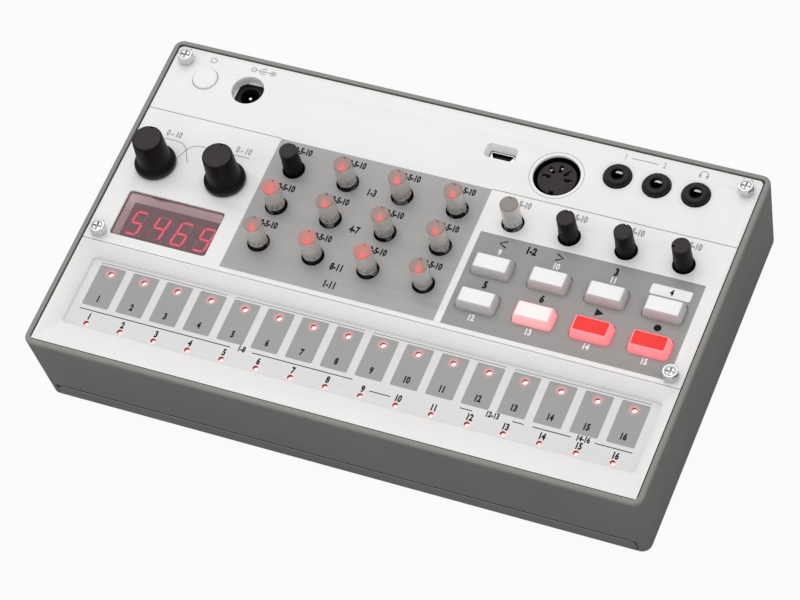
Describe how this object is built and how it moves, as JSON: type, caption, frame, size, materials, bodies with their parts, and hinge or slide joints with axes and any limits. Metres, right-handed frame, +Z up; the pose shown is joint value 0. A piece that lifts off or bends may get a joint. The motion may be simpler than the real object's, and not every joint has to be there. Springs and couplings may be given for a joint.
{
  "type": "compact sampler",
  "caption": "Palm-size table-top sampler: flat panel of knobs, keys, sockets and a display above a recessed touch keyboard, in a shallow tapered case with a sliding battery cover.",
  "frame": {"origin": "centre of the bounding box's underside, on the table plane under the feet", "axes": "+X to the player's right, +Y to the back edge with the sockets, +Z up"},
  "size_m": [0.193, 0.1149, 0.045],
  "materials": {
    "case_plastic": "fine grain",
    "panel_plastic": "satin",
    "strip_plastic": "satin",
    "foot_rubber": "matte",
    "bright_steel": "polished",
    "window_plastic": "gloss",
    "black_plastic": "satin",
    "knob_black": "satin",
    "knob_clear": "frosted",
    "key_white": "matte",
    "key_red": "matte",
    "lamp_red": "gloss",
    "contact_brass": "bright",
    "shaft_aluminium": "satin",
    "board": "satin",
    "ribbon_plastic": "satin"
  },
  "bodies": {
    "chassis": {"lower_case": "case_plastic", "rubber_feet": "foot_rubber", "control_panel": "panel_plastic", "keyboard_frame": "panel_plastic", "touch_strip": "strip_plastic", "panel_screws": "bright_steel", "display_window": "window_plastic", "display_module": "black_plastic", "display_digits": "lamp_red", "dc_jack": "black_plastic", "dc_pin": "bright_steel", "usb_shell": "bright_steel", "usb_tongue": "black_plastic", "din_housing": "black_plastic", "din_insert": "black_plastic", "mini_jacks": "black_plastic", "jack_contacts": "contact_brass", "control_board": "board", "keyboard_board": "board", "small_pots": "black_plastic", "large_pots": "bright_steel", "panel_lamps": "lamp_red", "strip_lamps": "lamp_red", "key_switches": "black_plastic", "battery_springs": "bright_steel", "battery_contacts": "bright_steel", "frame_screws": "bright_steel", "board_screws": "bright_steel", "ribbon_cable": "ribbon_plastic"},
    "sample_knob": {"sample_knob": "knob_black"},
    "start_knob": {"start_knob": "knob_clear"},
    "length_knob": {"length_knob": "knob_clear"},
    "hi_cut_knob": {"hi_cut_knob": "knob_clear"},
    "tempo_knob": {"tempo_knob": "knob_clear"},
    "swing_knob": {"swing_knob": "knob_black"},
    "reverb_knob": {"reverb_knob": "knob_black"},
    "volume_knob": {"volume_knob": "knob_black"},
    "speed_knob": {"speed_knob": "knob_clear"},
    "pitch_amount_knob": {"pitch_amount_knob": "knob_clear"},
    "pitch_attack_knob": {"pitch_attack_knob": "knob_clear"},
    "pitch_decay_knob": {"pitch_decay_knob": "knob_clear"},
    "level_knob": {"level_knob": "knob_clear"},
    "pan_knob": {"pan_knob": "knob_clear"},
    "amp_attack_knob": {"amp_attack_knob": "knob_clear"},
    "amp_decay_knob": {"amp_decay_knob": "knob_clear"},
    "bass_control": {"bass_knob": "knob_black", "bass_shaft": "shaft_aluminium"},
    "treble_control": {"treble_knob": "knob_black", "treble_shaft": "shaft_aluminium"},
    "part_down_key": {"part_down_key": "key_white"},
    "part_up_key": {"part_up_key": "key_white"},
    "mute_key": {"mute_key": "key_white"},
    "function_key": {"function_key": "key_white"},
    "memory_key": {"memory_key": "key_white"},
    "step_key": {"step_key": "key_white"},
    "play_key": {"play_key": "key_red"},
    "record_key": {"record_key": "key_red"},
    "power_button": {"power_button": "panel_plastic"},
    "battery_cover": {"battery_cover": "case_plastic"}
  },
  "joints": [
    {"name": "sample_knob_turn", "type": "hinge", "parent": "chassis", "child": "sample_knob", "pos_m": [-0.04194, 0.02175, 0.0316], "axis": [0, 0, -1], "range_deg": [-150, 150]},
    {"name": "start_knob_turn", "type": "hinge", "parent": "chassis", "child": "start_knob", "pos_m": [-0.02432, 0.02175, 0.0316], "axis": [0, 0, -1], "range_deg": [-150, 150]},
    {"name": "length_knob_turn", "type": "hinge", "parent": "chassis", "child": "length_knob", "pos_m": [-0.0067, 0.02175, 0.0316], "axis": [0, 0, -1], "range_deg": [-150, 150]},
    {"name": "hi_cut_knob_turn", "type": "hinge", "parent": "chassis", "child": "hi_cut_knob", "pos_m": [0.01092, 0.02175, 0.0316], "axis": [0, 0, -1], "range_deg": [-150, 150]},
    {"name": "tempo_knob_turn", "type": "hinge", "parent": "chassis", "child": "tempo_knob", "pos_m": [0.02854, 0.02175, 0.0316], "axis": [0, 0, -1], "range_deg": [-150, 150]},
    {"name": "swing_knob_turn", "type": "hinge", "parent": "chassis", "child": "swing_knob", "pos_m": [0.04616, 0.02175, 0.0316], "axis": [0, 0, -1], "range_deg": [-150, 150]},
    {"name": "reverb_knob_turn", "type": "hinge", "parent": "chassis", "child": "reverb_knob", "pos_m": [0.06378, 0.02175, 0.0316], "axis": [0, 0, -1], "range_deg": [-150, 150]},
    {"name": "volume_knob_turn", "type": "hinge", "parent": "chassis", "child": "volume_knob", "pos_m": [0.0814, 0.02175, 0.0316], "axis": [0, 0, -1], "range_deg": [-37, 263]},
    {"name": "speed_knob_turn", "type": "hinge", "parent": "chassis", "child": "speed_knob", "pos_m": [-0.04194, 0.00815, 0.0316], "axis": [0, 0, -1], "range_deg": [-150, 150]},
    {"name": "pitch_amount_knob_turn", "type": "hinge", "parent": "chassis", "child": "pitch_amount_knob", "pos_m": [-0.02432, 0.00815, 0.0316], "axis": [0, 0, -1], "range_deg": [-150, 150]},
    {"name": "pitch_attack_knob_turn", "type": "hinge", "parent": "chassis", "child": "pitch_attack_knob", "pos_m": [-0.0067, 0.00815, 0.0316], "axis": [0, 0, -1], "range_deg": [-150, 150]},
    {"name": "pitch_decay_knob_turn", "type": "hinge", "parent": "chassis", "child": "pitch_decay_knob", "pos_m": [0.01092, 0.00815, 0.0316], "axis": [0, 0, -1], "range_deg": [-150, 150]},
    {"name": "level_knob_turn", "type": "hinge", "parent": "chassis", "child": "level_knob", "pos_m": [-0.04194, -0.00545, 0.0316], "axis": [0, 0, -1], "range_deg": [-150, 150]},
    {"name": "pan_knob_turn", "type": "hinge", "parent": "chassis", "child": "pan_knob", "pos_m": [-0.02432, -0.00545, 0.0316], "axis": [0, 0, -1], "range_deg": [-150, 150]},
    {"name": "amp_attack_knob_turn", "type": "hinge", "parent": "chassis", "child": "amp_attack_knob", "pos_m": [-0.0067, -0.00545, 0.0316], "axis": [0, 0, -1], "range_deg": [-150, 150]},
    {"name": "amp_decay_knob_turn", "type": "hinge", "parent": "chassis", "child": "amp_decay_knob", "pos_m": [0.01092, -0.00545, 0.0316], "axis": [0, 0, -1], "range_deg": [-150, 150]},
    {"name": "bass_knob_turn", "type": "hinge", "parent": "chassis", "child": "bass_control", "pos_m": [-0.08365, 0.01225, 0.0316], "axis": [0, 0, -1], "range_deg": [-150, 150]},
    {"name": "treble_knob_turn", "type": "hinge", "parent": "chassis", "child": "treble_control", "pos_m": [-0.06045, 0.01225, 0.0316], "axis": [0, 0, -1], "range_deg": [-150, 150]},
    {"name": "part_down_key_press", "type": "slide", "parent": "chassis", "child": "part_down_key", "axis": [0, 0, -1], "range_m": [0, 0.0008], "stiffness_N_per_m": 600},
    {"name": "part_up_key_press", "type": "slide", "parent": "chassis", "child": "part_up_key", "axis": [0, 0, -1], "range_m": [0, 0.0008], "stiffness_N_per_m": 600},
    {"name": "mute_key_press", "type": "slide", "parent": "chassis", "child": "mute_key", "axis": [0, 0, -1], "range_m": [0, 0.0008], "stiffness_N_per_m": 600},
    {"name": "function_key_press", "type": "slide", "parent": "chassis", "child": "function_key", "axis": [0, 0, -1], "range_m": [0, 0.0008], "stiffness_N_per_m": 600},
    {"name": "memory_key_press", "type": "slide", "parent": "chassis", "child": "memory_key", "axis": [0, 0, -1], "range_m": [0, 0.0008], "stiffness_N_per_m": 600},
    {"name": "step_key_press", "type": "slide", "parent": "chassis", "child": "step_key", "axis": [0, 0, -1], "range_m": [0, 0.0008], "stiffness_N_per_m": 600},
    {"name": "play_key_press", "type": "slide", "parent": "chassis", "child": "play_key", "axis": [0, 0, -1], "range_m": [0, 0.0008], "stiffness_N_per_m": 600},
    {"name": "record_key_press", "type": "slide", "parent": "chassis", "child": "record_key", "axis": [0, 0, -1], "range_m": [0, 0.0008], "stiffness_N_per_m": 600},
    {"name": "power_button_press", "type": "slide", "parent": "chassis", "child": "power_button", "axis": [0, 0, -1], "range_m": [0, 0.0008], "stiffness_N_per_m": 600},
    {"name": "battery_cover_slide", "type": "slide", "parent": "chassis", "child": "battery_cover", "axis": [0, -1, 0], "range_m": [0, 0.04]}
  ]
}
